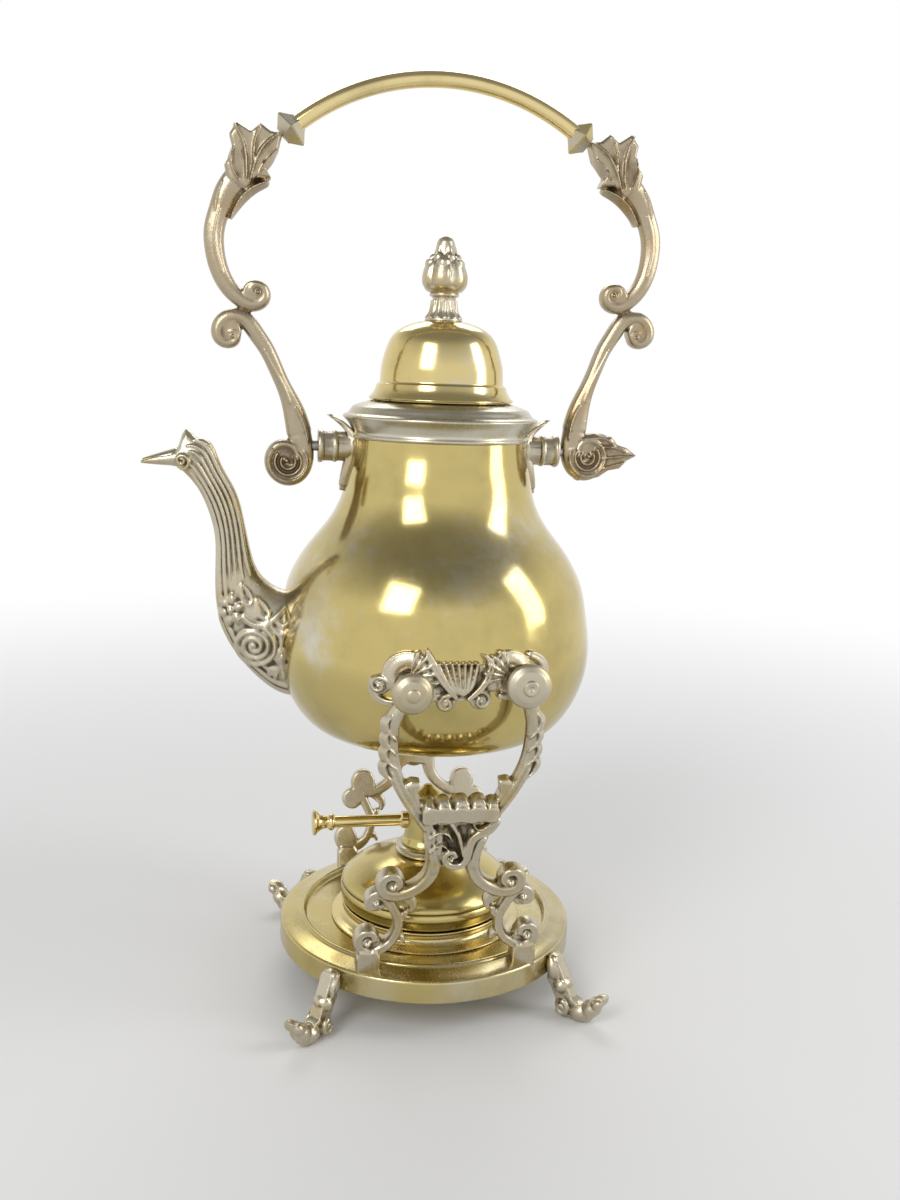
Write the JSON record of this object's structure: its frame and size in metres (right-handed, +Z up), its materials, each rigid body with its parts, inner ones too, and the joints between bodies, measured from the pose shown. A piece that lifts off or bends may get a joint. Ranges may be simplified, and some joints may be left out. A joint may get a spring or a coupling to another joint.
{
  "type": "spirit kettle on stand",
  "caption": "Round-bellied tea kettle with a swinging bail, hung tilting between two cast yokes on a footed round tray over a spirit burner with a snuffer.",
  "frame": {"origin": "on the table under the centre of the base tray", "axes": "+Z up; the spout points to -X; the bail's pivot line runs along X; the two yokes stand at -Y and +Y"},
  "size_m": [0.2227, 0.1716, 0.3995],
  "materials": {
    "polished_brass": "polished",
    "silver_plate": "worn silver plate",
    "bright_brass": "polished",
    "cast_silver_plate": "cast, worn plate, tarnished in the recesses",
    "wick_cotton": "woven cotton",
    "burner_copper": "dull",
    "steel_fixings": "plain"
  },
  "bodies": {
    "stand": {"base_tray": "polished_brass", "burner_seat": "polished_brass", "foot_front_spout": "cast_silver_plate", "foot_front_far": "cast_silver_plate", "foot_rear_spout": "cast_silver_plate", "foot_rear_far": "cast_silver_plate", "yoke_front": "cast_silver_plate", "yoke_rear": "cast_silver_plate", "yoke_screws": "steel_fixings"},
    "kettle": {"kettle_body": "polished_brass", "kettle_foot_ring": "polished_brass", "mouth_collar": "silver_plate", "spout": "cast_silver_plate", "bracket_front": "cast_silver_plate", "bracket_rear": "cast_silver_plate", "pivot_knob_front": "cast_silver_plate", "pivot_knob_rear": "cast_silver_plate", "rest_knob_front": "cast_silver_plate", "rest_knob_rear": "cast_silver_plate", "ear_spout": "cast_silver_plate", "ear_far": "cast_silver_plate", "lid_hinge_leaf_fixed": "cast_silver_plate"},
    "lid": {"lid_shell": "polished_brass", "lid_bezel": "polished_brass", "finial": "cast_silver_plate", "finial_screw": "steel_fixings", "lid_hinge_leaf_moving": "cast_silver_plate", "lid_hinge_pin": "steel_fixings"},
    "bail": {"bail_arm_spout": "cast_silver_plate", "bail_arm_far": "cast_silver_plate", "bail_pin_spout": "steel_fixings", "bail_pin_far": "steel_fixings", "grip_collar_spout": "bright_brass", "grip_collar_far": "bright_brass", "grip_tube": "bright_brass"},
    "burner": {"burner_tank_bowl": "polished_brass", "burner_tank_top": "polished_brass", "burner_neck": "polished_brass", "wick_tube": "burner_copper", "wick": "wick_cotton"},
    "snuffer": {"snuffer_cap": "polished_brass", "snuffer_handle": "bright_brass"}
  },
  "joints": [
    {"name": "pour_tilt", "type": "hinge", "parent": "stand", "child": "kettle", "pos_m": [-0.0204, 0, 0.1568], "axis": [0, -1, 0], "range_deg": [0, 55]},
    {"name": "lid_open", "type": "hinge", "parent": "kettle", "child": "lid", "pos_m": [0, 0.0342, 0.2666], "axis": [-1, 0, 0], "range_deg": [0, 105]},
    {"name": "bail_swing", "type": "hinge", "parent": "kettle", "child": "bail", "pos_m": [0, 0, 0.245], "axis": [1, 0, 0], "range_deg": [-135, 135]},
    {"name": "burner_lift", "type": "slide", "parent": "stand", "child": "burner", "axis": [0, 0, 1], "range_m": [0, 0.008]},
    {"name": "snuffer_lift", "type": "slide", "parent": "burner", "child": "snuffer", "axis": [0, 0, 1], "range_m": [0, 0.009]}
  ]
}
